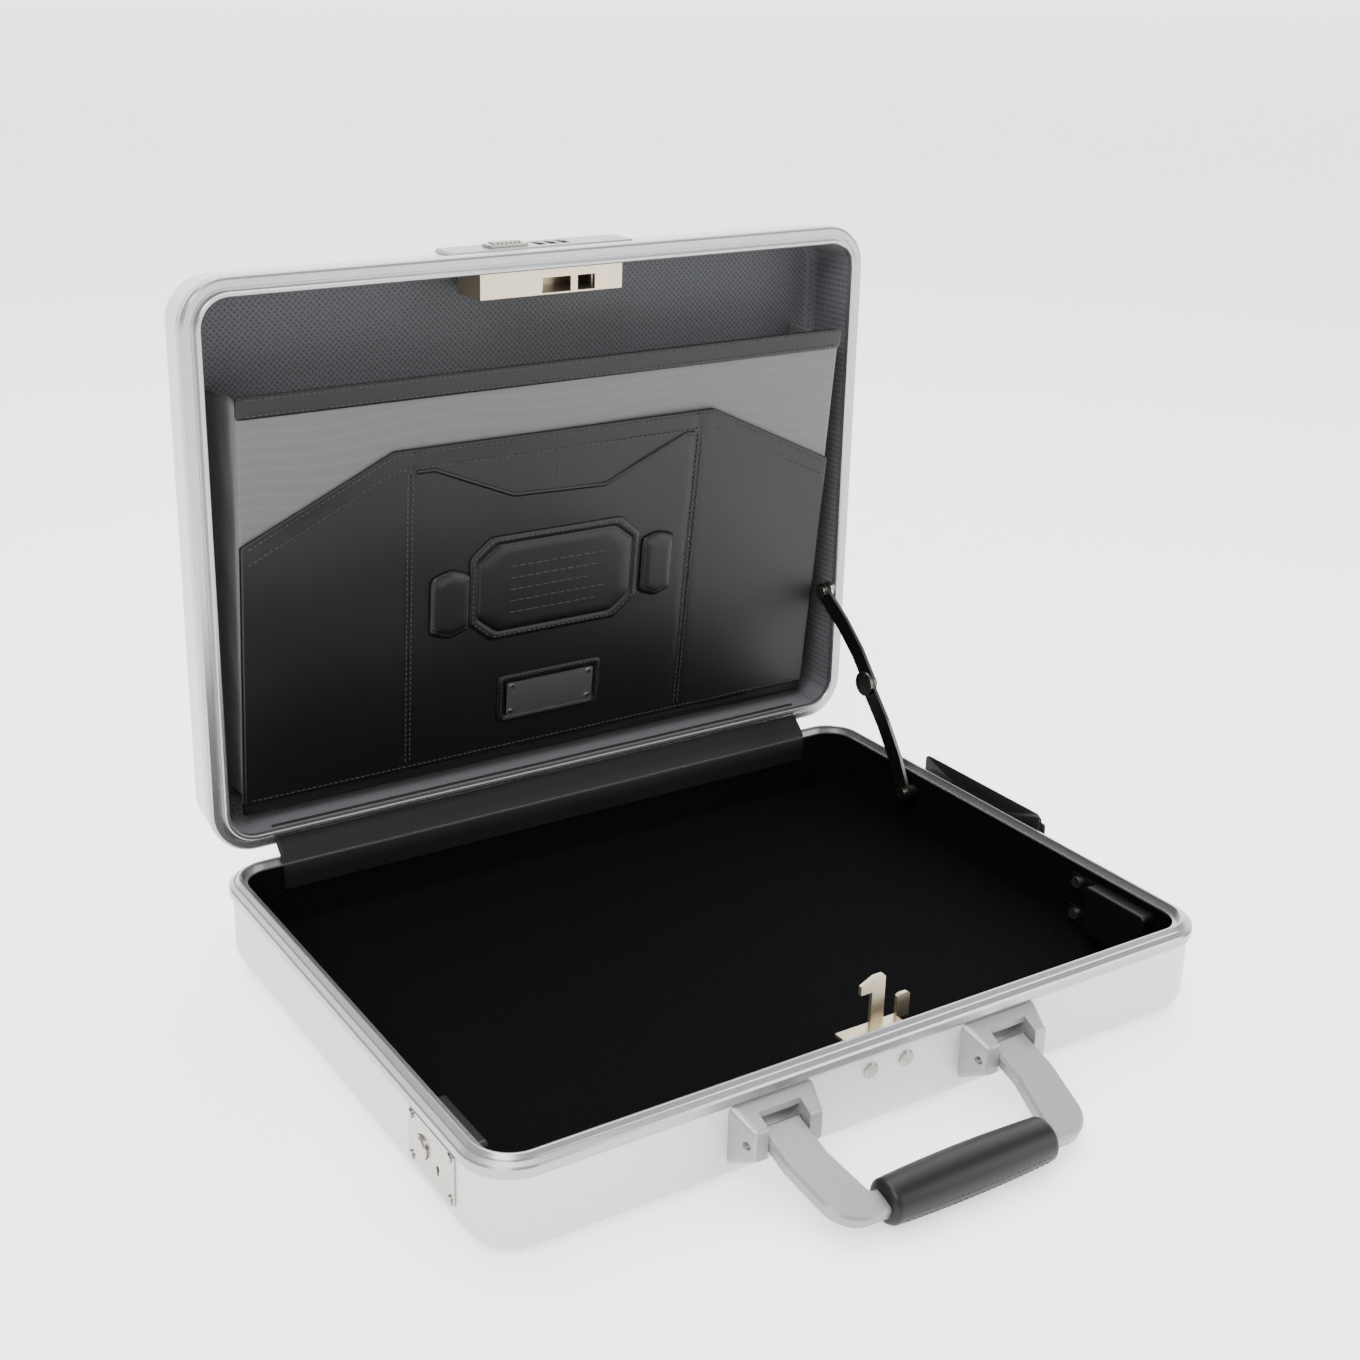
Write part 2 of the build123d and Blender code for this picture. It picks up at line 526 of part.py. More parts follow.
with BuildPart() as anchor_springs:
    for side, wall in SIDES.items():
        spot = on_side(side, [(ANCHOR_BUTTON_SHIFT, 0)])[0]
        coil_way = wall.z_dir
        coil_foot = wall.from_local_coords((spot[0], spot[1], HOUSING_FACE + HOUSING_WALL + 0.6))
        with BuildLine():
            coil = Helix(pitch=1.8, height=8.6, radius=3.4, center=coil_foot, direction=coil_way)
        with BuildSketch(Plane(origin=coil @ 0, z_dir=coil % 0)) as wire:
            Circle(SPRING_WIRE)
        sweep(wire.sketch, path=coil, is_frenet=True)
save(anchor_springs, "anchor_springs")

# ---- lid stay -----------------------------------------------------------------------------
def elbow(foot, tip):
    """Where the two links meet, on the front side of the line from foot to tip."""
    span_y = tip[0] - foot[0]
    span_z = tip[1] - foot[1]
    span = sqrt(span_y ** 2 + span_z ** 2)
    along = (span ** 2 + LINK_LOW ** 2 - LINK_HIGH ** 2) / (2 * span)
    off = sqrt(LINK_LOW ** 2 - along ** 2)
    return (
        foot[0] + (along * span_y - off * span_z) / span,
        foot[1] + (along * span_z + off * span_y) / span,
    )


STAY_TIP_WORLD = LID.from_local_coords((0, STAY_LID[0], STAY_LID[1]))
STAY_TIP = (STAY_TIP_WORLD.Y, STAY_TIP_WORLD.Z)
STAY_ELBOW = elbow(STAY_BASE, STAY_TIP)
LOWER_SPAN = (-15.4, -13.3)      # lower link's faces from the wall plane
UPPER_SPAN = (-13.0, -10.9)
ELBOW_PIN_R = 2.5


def link_bar(start, end, span, width, jog):
    """A flat bar between two pivots with a shallow jog to one side of the straight line."""
    run_y = end[0] - start[0]
    run_z = end[1] - start[1]
    length = sqrt(run_y ** 2 + run_z ** 2)
    places = [
        (start[0] + t * run_y - n * run_z / length, start[1] + t * run_z + n * run_y / length)
        for t, n in ((0, 0), (0.3, jog), (0.62, jog), (1, 0))
    ]
    with BuildSketch(RIGHT.offset(span[0])) as bar:
        for first, second in zip(places[:-1], places[1:]):
            with Locations(((first[0] + second[0]) / 2, (first[1] + second[1]) / 2)):
                SlotCenterToCenter(
                    sqrt((second[0] - first[0]) ** 2 + (second[1] - first[1]) ** 2), width,
                    rotation=degrees(atan2(second[1] - first[1], second[0] - first[0])),
                )
    extrude(bar.sketch, amount=span[1] - span[0])


with BuildPart() as stay_lower_link:
    link_bar(STAY_BASE, STAY_ELBOW, LOWER_SPAN, 11.0, 3.0)
    pegs(RIGHT, 2.05, -20, -5, [STAY_BASE], Mode.SUBTRACT)
    pegs(RIGHT, ELBOW_PIN_R + SLIT, -20, -5, [STAY_ELBOW], Mode.SUBTRACT)
save(stay_lower_link, "stay_lower_link")

with BuildPart() as stay_elbow_disc:
    pegs(RIGHT, 7.5, LOWER_SPAN[0] - 1.8, LOWER_SPAN[0] - SLIT, [STAY_ELBOW])
    for turn in (90, 210, 330):
        stud = (STAY_ELBOW[0] + 4.9 * cos(radians(turn)), STAY_ELBOW[1] + 4.9 * sin(radians(turn)))
        pegs(RIGHT, 1.3, LOWER_SPAN[0] - 2.4, LOWER_SPAN[0] - 1, [stud])
    pegs(RIGHT, ELBOW_PIN_R, LOWER_SPAN[0] - SLIT, UPPER_SPAN[1] + 0.4, [STAY_ELBOW])
    pegs(RIGHT, 4.0, UPPER_SPAN[1] + 0.4, UPPER_SPAN[1] + 1.4, [STAY_ELBOW])
save(stay_elbow_disc, "stay_elbow_disc")

with BuildPart() as stay_upper_link:
    link_bar(STAY_ELBOW, STAY_TIP, UPPER_SPAN, 11.0, 3.0)
    pegs(RIGHT, ELBOW_PIN_R + 0.05, -20, -5, [STAY_ELBOW], Mode.SUBTRACT)
    pegs(RIGHT, 2.1, -20, -5, [STAY_TIP], Mode.SUBTRACT)
save(stay_upper_link, "stay_upper_link")

with BuildPart() as stay_lid_screw:
    pegs(RIGHT, 4.2, UPPER_SPAN[0] - 1.4, UPPER_SPAN[0] - SLIT, [STAY_TIP])
    pegs(RIGHT, 2.0, UPPER_SPAN[0] - SLIT, -9.7, [STAY_TIP])
save(stay_lid_screw, "stay_lid_screw")

with BuildPart() as stay_base_post:
    pegs(RIGHT, STAY_POST_R, LOWER_SPAN[1] + 0.4, -SHELL_T - SLIT, [STAY_BASE])
    pegs(RIGHT, 2.0, LOWER_SPAN[0] - 0.4, SLIT, [STAY_BASE])
    pegs(RIGHT, 3.8, LOWER_SPAN[0] - 1.6, LOWER_SPAN[0] - 0.4, [STAY_BASE])
    pegs(RIGHT, 4.0, SLIT, 1.4, [STAY_BASE])
save(stay_base_post, "stay_base_post")

with BuildPart() as stay_lid_boss:
    pegs(LID_RIGHT, 5.5, -9.4, -7.8, [STAY_LID])
    pegs(LID_RIGHT, 2.8, -7.8, -6.4, [STAY_LID])
save(stay_lid_boss, "stay_lid_boss")

# ---- catch hook ---------------------------------------------------------------------------
HOOK_PLATE = (-WALL_IN - 1.7, -WALL_IN - SLIT)
HOOK_SHEET = (-18.5, -16.5)
HOOK_OUTLINE = [
    (-17, 44.4), (25, 44.4), (25, 56), (23.5, 57), (19, 57), (17.5, 56), (17.5, 46), (9.5, 46),
    (9.5, 69.5), (8, 71), (3, 71), (-4.5, 67.5), (-4.5, 63), (2, 63), (2, 46), (-17, 46),
]
with BuildPart() as catch_hook:
    block(FRONT, (0.25, 36), (34.5, 20), *HOOK_PLATE)
    block(FRONT, (0.25, 45.2), (34.5, 1.6), HOOK_SHEET[0], HOOK_PLATE[1])
    plate(FRONT, HOOK_OUTLINE, *HOOK_SHEET)
    pegs(FRONT, RIVET_R + SLIT, -12, 0, HOOK_RIVETS, Mode.SUBTRACT)
save(catch_hook, "catch_hook")

with BuildPart() as catch_rivets:
    pegs(FRONT, 4.0, SLIT, 1.3, HOOK_RIVETS)
    chamfer(catch_rivets.edges().filter_by(lambda e: e.center().Y < -SHELL_Y - 1.2), 0.6)
    pegs(FRONT, RIVET_R, HOOK_PLATE[0] - SLIT, SLIT, HOOK_RIVETS)
    pegs(FRONT, 3.4, HOOK_PLATE[0] - 1.2, HOOK_PLATE[0] - SLIT, HOOK_RIVETS)
save(catch_rivets, "catch_rivets")

# ---- card holder --------------------------------------------------------------------------
CARD_LOW = 24.0
CARD_TOP = 57.5
CARD_LEN = 97.0
CARD_MID = 21.5
with BuildPart() as card_holder_back:
    block(RIGHT, (CARD_MID, 33), (CARD_LEN - 4, 17), SLIT, 2.5)
    block(RIGHT, (CARD_MID, (CARD_LOW + CARD_TOP) / 2), (CARD_LEN, CARD_TOP - CARD_LOW), 2.5, 3.4, corner=2)
    pegs(RIGHT, RIVET_R + SLIT, 0, 4, CARD_RIVETS, Mode.SUBTRACT)
    pegs(RIGHT, 4.4, 0, 2, [STAY_BASE], Mode.SUBTRACT)
save(card_holder_back, "card_holder_back")

with BuildPart() as card_holder_front:
    block(RIGHT, (CARD_MID, (CARD_LOW + CARD_TOP) / 2), (CARD_LEN, CARD_TOP - CARD_LOW), 3.5, 5.5, corner=2)
    block(RIGHT, (CARD_MID, 43), (CARD_LEN - 8, 32), 3.4, 4.5, mode=Mode.SUBTRACT)
save(card_holder_front, "card_holder_front")

with BuildPart() as card_holder_rivets:
    pegs(RIGHT, 3.2, -SHELL_T - 1.6, -SHELL_T - SLIT, CARD_RIVETS)
    pegs(RIGHT, RIVET_R, -SHELL_T - SLIT, 3.45, CARD_RIVETS)
    pegs(RIGHT, 3.0, 3.45, 4.2, CARD_RIVETS)
save(card_holder_rivets, "card_holder_rivets")

# ---- combination lock ---------------------------------------------------------------------
LOCK_FACE = 2.4
SHAFT_R = 1.2
SHAFT_DEEP = DIAL_AXIS_Y + SHELL_Y          # shaft's depth behind the wall plane
SHAFT_PLANE = Plane(
    origin=LID_FRONT.from_local_coords((0, LOCK_MID, -SHAFT_DEEP)), x_dir=(0, 1, 0), z_dir=(1, 0, 0)
)
LUG_XS = (-3.1, 21.1)
with BuildPart() as lock_plate:
    block(LID_FRONT, (0, LOCK_MID), (LOCK_W, LOCK_H), SLIT, LOCK_FACE, corner=2)
    chamfer(lock_plate.faces().sort_by(Axis.Z)[-1].outer_wire().edges(), 1.0)
    for dial_x in DIAL_XS:
        block(LID_FRONT, (dial_x, LOCK_MID), (5.2, 11.8), 0, 3, mode=Mode.SUBTRACT)
    block(LID_FRONT, (SLIDER_X + 3.5, LOCK_MID), (13.8, 4.6), 0, 3, mode=Mode.SUBTRACT)
    for lug_x in LUG_XS:
        block(LID_FRONT, (lug_x, LOCK_MID), (1.6, 7), -SHAFT_DEEP - 2.6, SLIT + 0.1)
    pegs(SHAFT_PLANE, SHAFT_R + SLIT, -10, 30, [(0, 0)], Mode.SUBTRACT)
    pegs(LID_FRONT, SCREW_R, 0, 1.6, LOCK_SCREWS, Mode.SUBTRACT)
save(lock_plate, "lock_plate")

with BuildPart() as dial_shaft:
    pegs(SHAFT_PLANE, SHAFT_R, LUG_XS[0] - 1.4, LUG_XS[1] + 1.4, [(0, 0)])
save(dial_shaft, "dial_shaft")

for number, dial_x in enumerate(DIAL_XS, start=1):
    with BuildPart() as dial:
        pegs(SHAFT_PLANE, DIAL_R, dial_x - DIAL_W / 2, dial_x + DIAL_W / 2, [(0, 0)])
        chamfer(dial.edges(), 0.5)
        with BuildSketch(SHAFT_PLANE.offset(dial_x - 3)) as grooves:
            with PolarLocations(DIAL_R + 0.3, 10):
                Circle(0.7)
        extrude(grooves.sketch, amount=6, mode=Mode.SUBTRACT)
        pegs(SHAFT_PLANE, SHAFT_R + 0.05, dial_x - 3, dial_x + 3, [(0, 0)], Mode.SUBTRACT)
    save(dial, f"dial_{number}")

CASE_BACK = -WALL_IN - SLIT
CASE_FACE = -23.0
CASE_LOW = 3.5
CASE_TOP = 30.0
CASE_MID = (CASE_LOW + CASE_TOP) / 2
SHEET_T = 1.2
with BuildPart() as lock_case:
    block(LID_FRONT, (0, CASE_MID), (88, CASE_TOP - CASE_LOW), CASE_FACE, CASE_BACK)
    fillet(lock_case.edges().filter_by(lambda e: abs(e.center().Z - (LID_FRONT.origin.Z + CASE_FACE)) < 0.01), 1.1)
    block(
        LID_FRONT, (0, CASE_MID), (88 - 2 * SHEET_T, CASE_TOP - CASE_LOW - 2 * SHEET_T),
        CASE_FACE + SHEET_T, CASE_BACK, mode=Mode.SUBTRACT,
    )
    for side_sign in (-1, 1):
        block(LID_FRONT, (side_sign * 50.9, CASE_MID), (15, 20), CASE_BACK - SHEET_T, CASE_BACK)
    hook_way = LID_FRONT.offset(CASE_FACE + SHEET_T + 0.3)
    for way_x, way_w in ((2.5, 18), (21.25, 11)):
        block(hook_way, (way_x, CASE_LOW), (way_w, 4), 0, 8.3, mode=Mode.SUBTRACT)
    pegs(LID_FRONT, SCREW_R, CASE_FACE - 1, 0, LOCK_SCREWS, Mode.SUBTRACT)
    block(LID_FRONT, (SLIDER_X + 2.5, 24.5), (26, 2.4), CASE_FACE - 1, CASE_FACE + 2, mode=Mode.SUBTRACT)
save(lock_case, "lock_case")

with BuildPart() as lock_screws:
    for places, face in ((LOCK_SCREWS[1:3], CASE_FACE), (LOCK_SCREWS[0:4:3], CASE_BACK - SHEET_T)):
        pegs(LID_FRONT, 3.0, face - 1.5, face - SLIT, places)
        pegs(LID_FRONT, SCREW_R - SLIT, face - SLIT, 1.5, places)
save(lock_screws, "lock_screws")

with BuildPart() as release_slider:
    block(LID_FRONT, (SLIDER_X, LOCK_MID), (24, 10), LOCK_FACE + 0.3, LOCK_FACE + 1.7, corner=1.5)
    block(LID_FRONT, (SLIDER_X + 1, LOCK_MID), (8, 4), -11.5, LOCK_FACE + 0.5)
    for rib in range(-3, 4):
        block(LID_FRONT, (SLIDER_X + 2.6 * rib, LOCK_MID), (1.1, 8), LOCK_FACE + 1.6, LOCK_FACE + 2.5)
save(release_slider, "release_slider")

with BuildPart() as latch_bolt:
    block(LID_FRONT, (SLIDER_X + 1, 14.7), (9, 19), -14.0, -11.6)
    block(LID_FRONT, (SLIDER_X + 1.2, 7.6), (25, 4.8), -20, -14)
save(latch_bolt, "latch_bolt")

# ---- lid pocket and organiser -------------------------------------------------------------
SLOPE = 22.0 / 223.0
PANEL = Plane(
    origin=LID.from_local_coords((0, 0, -9 + 90 * SLOPE)), x_dir=(1, 0, 0), z_dir=(0, -1, -SLOPE)
)
PANEL_HALF = 184.0
with BuildPart() as pocket_panel:
    plate(PANEL, [(-PANEL_HALF, -133), (PANEL_HALF, -133), (PANEL_HALF, 97), (-PANEL_HALF, 97)], -2, 0)
save(pocket_panel, "pocket_panel")

GUSSET = [(-92, -6), (132, 15.5), (132, LID_H - LID_FLOOR - 0.4), (-92, LID_H - LID_FLOOR - 0.4)]
for side_name, gusset_x in (("left", -186.4), ("right", 185.2)):
    with BuildPart() as pocket_gusset:
        plate(LID_RIGHT.offset(gusset_x - SHELL_X), GUSSET, 0, 1.2)
    save(pocket_gusset, f"pocket_gusset_{side_name}")

ORGANISER = [(-PANEL_HALF, -133), (PANEL_HALF, -133), (PANEL_HALF, 19), (101, 58), (-101, 58), (-PANEL_HALF, 19)]
with BuildPart() as organiser_panel:
    plate(PANEL, ORGANISER, SLIT, 2)
save(organiser_panel, "organiser_panel")

OCTAGON = [(-41, -62), (41, -62), (55, -50), (55, -10), (42, 1), (-42, 1), (-55, -10), (-55, -50)]
with BuildPart() as octagon_patch:
    plate(PANEL, OCTAGON, 2.1, 3.6)
save(octagon_patch, "octagon_patch")

with BuildPart() as pen_loops:
    for loop_x, loop_y in ((-67, -35), (68, -32)):
        block(PANEL, (loop_x, loop_y), (22, 34), 2.1, 5.5, corner=3)
        block(PANEL, (loop_x, loop_y), (12, 36), 2.7, 4.7, mode=Mode.SUBTRACT)
save(pen_loops, "pen_loops")

with BuildPart() as id_frame:
    block(PANEL, (0, -101), (68, 30), 2.1, 3.3, corner=3)
    block(PANEL, (0, -101.5), (57.4, 21.4), 2.9, 4, mode=Mode.SUBTRACT)
save(id_frame, "id_frame")

ID_RIVETS = [(x, y) for x in (-25.5, 25.5) for y in (-109.5, -93.5)]
with BuildPart() as id_plate:
    block(PANEL, (0, -101.5), (57, 21), 3.0, 3.8, corner=1)
    pegs(PANEL, 0.9, 2, 5, ID_RIVETS, Mode.SUBTRACT)
save(id_plate, "id_plate")

with BuildPart() as id_plate_rivets:
    pegs(PANEL, 0.8, 2.95, 3.85, ID_RIVETS)
    pegs(PANEL, 1.5, 3.85, 4.4, ID_RIVETS)
save(id_plate_rivets, "id_plate_rivets")
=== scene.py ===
import json
from math import cos, radians, sin
import bpy
import numpy as np
from mathutils import Matrix, Vector


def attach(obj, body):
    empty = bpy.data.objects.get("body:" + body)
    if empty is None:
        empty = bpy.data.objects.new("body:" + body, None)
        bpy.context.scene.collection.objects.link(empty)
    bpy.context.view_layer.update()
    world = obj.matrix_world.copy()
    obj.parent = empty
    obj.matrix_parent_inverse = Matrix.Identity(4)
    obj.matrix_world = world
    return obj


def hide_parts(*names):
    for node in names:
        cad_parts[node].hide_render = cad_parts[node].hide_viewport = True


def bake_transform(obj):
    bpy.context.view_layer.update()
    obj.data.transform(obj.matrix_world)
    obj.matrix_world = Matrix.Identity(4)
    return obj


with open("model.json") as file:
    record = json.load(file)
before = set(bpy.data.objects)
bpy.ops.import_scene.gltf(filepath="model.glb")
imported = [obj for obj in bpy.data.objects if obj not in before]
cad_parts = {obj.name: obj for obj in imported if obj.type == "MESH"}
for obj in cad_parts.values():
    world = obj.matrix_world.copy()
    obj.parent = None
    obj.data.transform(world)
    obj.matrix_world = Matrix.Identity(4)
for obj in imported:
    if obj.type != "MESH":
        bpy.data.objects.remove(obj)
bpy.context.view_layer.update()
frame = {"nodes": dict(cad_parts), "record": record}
MM = 0.001
SLOPE = 22.0 / 223.0
rng = np.random.default_rng(7)


# ---- materials ----------------------------------------------------------------------------
def srgb(code):
    """Linear colour of a hex code."""
    parts = [int(code[i:i + 2], 16) / 255 for i in (0, 2, 4)]
    return tuple(p / 12.92 if p <= 0.04045 else ((p + 0.055) / 1.055) ** 2.4 for p in parts) + (1,)


def material(name, dark, light, rough=0.5, metal=0.0, scale=800, bump=0.1, kind="noise", stretch=(1, 1, 1),
             sheen=0.0, spec=0.5, distance=0.0002):
    """A painted, anodised, leather or woven finish: colour mottled by a fine pattern that also lifts the surface."""
    made = bpy.data.materials.new(name)
    made.use_nodes = True
    nodes, links = made.node_tree.nodes, made.node_tree.links
    shader = nodes["Principled BSDF"]
    shader.inputs["Metallic"].default_value = metal
    shader.inputs["Sheen Weight"].default_value = sheen
    shader.inputs["Specular IOR Level"].default_value = spec
    place = nodes.new("ShaderNodeTexCoord")
    turn = nodes.new("ShaderNodeMapping")
    turn.inputs["Scale"].default_value = stretch
    links.new(place.outputs["Object"], turn.inputs["Vector"])
    if kind == "weave":
        pattern = nodes.new("ShaderNodeTexVoronoi")
        pattern.distance = "CHEBYCHEV"
        out = "Distance"
        turn.inputs["Rotation"].default_value = (0.0, 0.785, 0.0)
        pattern.inputs["Randomness"].default_value = 0.12
    elif kind == "leather":
        pattern = nodes.new("ShaderNodeTexVoronoi")
        pattern.feature = "DISTANCE_TO_EDGE"
        out = "Distance"
        pattern.inputs["Randomness"].default_value = 0.9
    else:
        pattern = nodes.new("ShaderNodeTexNoise")
        pattern.inputs["Detail"].default_value = 4
        out = "Fac"
    pattern.inputs["Scale"].default_value = scale
    links.new(turn.outputs["Vector"], pattern.inputs["Vector"])
    ramp = nodes.new("ShaderNodeValToRGB")
    ramp.color_ramp.elements[0].color = srgb(dark)
    ramp.color_ramp.elements[1].color = srgb(light)
    ramp.color_ramp.elements[0].position = 0.05 if kind != "noise" else 0.35
    ramp.color_ramp.elements[1].position = 0.45 if kind != "noise" else 0.65
    links.new(pattern.outputs[out], ramp.inputs["Fac"])
    links.new(ramp.outputs["Color"], shader.inputs["Base Color"])
    lift = nodes.new("ShaderNodeBump")
    lift.inputs["Strength"].default_value = bump
    lift.inputs["Distance"].default_value = distance
    links.new(pattern.outputs[out], lift.inputs["Height"])
    links.new(lift.outputs["Normal"], shader.inputs["Normal"])
    shader.inputs["Roughness"].default_value = rough
    return made


SLOTS = {
    "shell_aluminium": material("satin shell", "C6C7C9", "CCCDCF", 0.38, 0.35, 900, 0.03),
    "rim_aluminium": material("anodised rim", "98999B", "A1A2A4", 0.26, 0.85, 1500, 0.02),
    "lining_felt": material("black felt", "020203", "08080A", 0.97, 0, 1600, 0.6, spec=0.06),
    "lid_lining_fabric": material("woven lid lining", "26272A", "505154", 0.8, 0, 420, 0.5, "weave", sheen=0.1),
    "steel": material("bright steel", "A6A8AA", "B4B6B8", 0.3, 1.0, 900, 0.03),
    "nickel": material("satin nickel", "A29F97", "AFACA4", 0.25, 1.0, 900, 0.02),
    "cast_grey": material("grey casting", "8B8C8D", "949596", 0.38, 0.5, 1400, 0.08),
    "black_plastic": material("black plastic", "060607", "0B0B0C", 0.42, 0, 1600, 0.05, spec=0.3),
    "handle_metal": material("grey lacquered bar", "85868A", "8C8D90", 0.36, 0.5, 1200, 0.03),
    "gunmetal": material("gunmetal", "4A4845", "555350", 0.28, 0.95, 1200, 0.04),
    "champagne_metal": material("champagne lock case", "B5A992", "C0B49E", 0.3, 0.9, 1200, 0.03),
    "black_leather": material("black leather", "020203", "070708", 0.42, 0, 900, 0.3, "leather", distance=0.00008, spec=0.3),
    "grey_nylon": material("grey nylon", "3F4042", "4D4E50", 0.55, 0, 1500, 0.15, "weave", sheen=0.15),
    "plate_metal": material("brushed plate", "8E8E8C", "A3A3A0", 0.32, 1.0, 1400, 0.06, stretch=(1, 1, 12)),
}
THREAD = material("black thread", "1B1B1D", "28282B", 0.6, 0, 3000, 0.3)
SATIN = material("black satin weave", "060607", "121213", 0.5, 0, 900, 0.35, "weave", spec=0.18)
slot_of = {part["node"]: part["material_slot"] for part in frame["record"]["subparts"]}
for node, obj in frame["nodes"].items():
    obj.data.materials.clear()
    obj.data.materials.append(SLOTS[slot_of[node]])


# ---- surface builders ---------------------------------------------------------------------
def lid_point(u, v, w):
    """Closed-case lid place, in millimetres, as a place on the open lid in metres."""
    return np.stack(np.broadcast_arrays(u * MM, (155.5 + w) * MM, (210.5 - v) * MM), axis=-1)


def pocket_point(u, p, h):
    """A place on the pocket's sloping front: u across, p up the slope, h out of it, in millimetres."""
    return lid_point(u, -p, -9 + (90 - p) * SLOPE - h)


def right_wall_point(a, b, h):
    """A place on the base's right wall: a back along it, b up, h outwards, in millimetres."""
    return np.stack(np.broadcast_arrays((208 + h) * MM, a * MM, b * MM), axis=-1)


def mesh_piece(name, points, faces, finish, body, stands_for=(), smooth=True):
    """A piece from its points and faces, riding on a body."""
    data = bpy.data.meshes.new(name)
    data.from_pydata(np.asarray(points).reshape(-1, 3).tolist(), [], faces if isinstance(faces, list) else faces.tolist())
    data.validate()
    data.update()
    data.polygons.foreach_set("use_smooth", [smooth] * len(data.polygons))
    obj = bpy.data.objects.new(name, data)
    bpy.context.scene.collection.objects.link(obj)
    if isinstance(finish, str):
        data.materials.append(SLOTS[finish])
    else:
        data.materials.append(finish)
    if body:
        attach(obj, body)
    if stands_for:
        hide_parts(*stands_for)
    return obj


def slab(name, front, back, finish, body, stands_for=()):
    """A closed sheet: a grid of front points, the same grid of back points, and a strip round the edge."""
    rows, cols = front.shape[:2]
    index = np.arange(rows * cols).reshape(rows, cols)
    quad = np.stack([index[:-1, :-1], index[:-1, 1:], index[1:, 1:], index[1:, :-1]], -1).reshape(-1, 4)
    ring = np.concatenate([index[0, :], index[1:, -1], index[-1, -2::-1], index[-2:0:-1, 0]])
    after = np.roll(ring, -1)
    total = rows * cols
    edge = np.stack([after, ring, ring + total, after + total], -1)
    faces = np.concatenate([quad, quad[:, ::-1] + total, edge])
    return mesh_piece(name, np.concatenate([front.reshape(-1, 3), back.reshape(-1, 3)]), faces, finish, body, stands_for)


def rounded(points, radius, steps=6):
    """An outline through points with its corners rounded by quadratic arcs, evenly resampled at 2 mm."""
    points = np.array(points, float)
    out = []
    for before, here, after in zip(np.roll(points, 1, 0), points, np.roll(points, -1, 0)):
        a = here + (before - here) / np.linalg.norm(before - here) * radius
        b = here + (after - here) / np.linalg.norm(after - here) * radius
        t = np.linspace(0, 1, steps)[:, None]
        out.append((1 - t) ** 2 * a + 2 * t * (1 - t) * here + t ** 2 * b)
    loop = np.concatenate(out)
    loop = np.concatenate([loop, loop[:1]])
    run = np.concatenate([[0], np.cumsum(np.linalg.norm(np.diff(loop, axis=0), axis=1))])
    count = max(24, int(run[-1] / 2))
    at = np.linspace(0, run[-1], count, endpoint=False)
    return np.stack([np.interp(at, run, loop[:, k]) for k in (0, 1)], -1)


def inset(loop, distance):
    """An outline moved inwards by a distance: each point moves along the loop's inward normal."""
    along = np.roll(loop, -1, 0) - np.roll(loop, 1, 0)
    normal = np.stack([-along[:, 1], along[:, 0]], -1) / np.linalg.norm(along, axis=1)[:, None]
    area = np.sum(loop[:, 0] * np.roll(loop[:, 1], -1) - loop[:, 1] * np.roll(loop[:, 0], -1))
    return loop + np.sign(area) * normal * distance


def patch(name, place, outline, radius, profile, finish, body, stands_for=(), base=0.0, soft=None):
    """A leather or metal patch: rings of its outline moved inwards, each at the profile's (inset, height), closed
    across the middle and behind. soft(a, b) adds a height that varies over the face."""
    loop = rounded(outline, radius)
    area = np.sum(loop[:, 0] * np.roll(loop[:, 1], -1) - loop[:, 1] * np.roll(loop[:, 0], -1))
    if area < 0:
        loop = loop[::-1]
    rings = [(loop, np.full(len(loop), base))]
    middle = loop.mean(0)
    half = np.ptp(loop, axis=0) / 2
    for step, height in profile:
        ring = inset(loop, step) if step <= radius else middle + (loop - middle) * (1 - step / half)
        lift = soft(ring[:, 0], ring[:, 1]) if soft else 0
        rings.append((ring, np.full(len(loop), base + height) + lift))
    last_ring = rings[-1][0]
    for shrink in (0.85, 0.65, 0.45, 0.25, 0.08):
        ring = middle + (last_ring - middle) * shrink
        lift = soft(ring[:, 0], ring[:, 1]) if soft else 0
        rings.append((ring, np.full(len(loop), base + profile[-1][1]) + lift))
    count = len(loop)
    stack = np.concatenate([place(r[:, 0], r[:, 1], h) for r, h in rings])
    index = np.arange(len(rings) * count).reshape(len(rings), count)
    nxt = np.roll(index, -1, 1)
    walls = np.stack([index[:-1], nxt[:-1], nxt[1:], index[1:]], -1).reshape(-1, 4)
    hub = stack[index[-1]].mean(0, keepdims=True)
    foot = place(middle[:1], middle[1:], np.array([base]))
    stack = np.concatenate([stack, hub, foot])
    top, low = index.size, index.size + 1
    faces = walls.tolist() + [[a, b, top] for a, b in zip(index[-1].tolist(), nxt[-1].tolist())]
    faces += [[b, a, low] for a, b in zip(index[0].tolist(), nxt[0].tolist())]
    return mesh_piece(name, stack, faces, finish, body, stands_for)


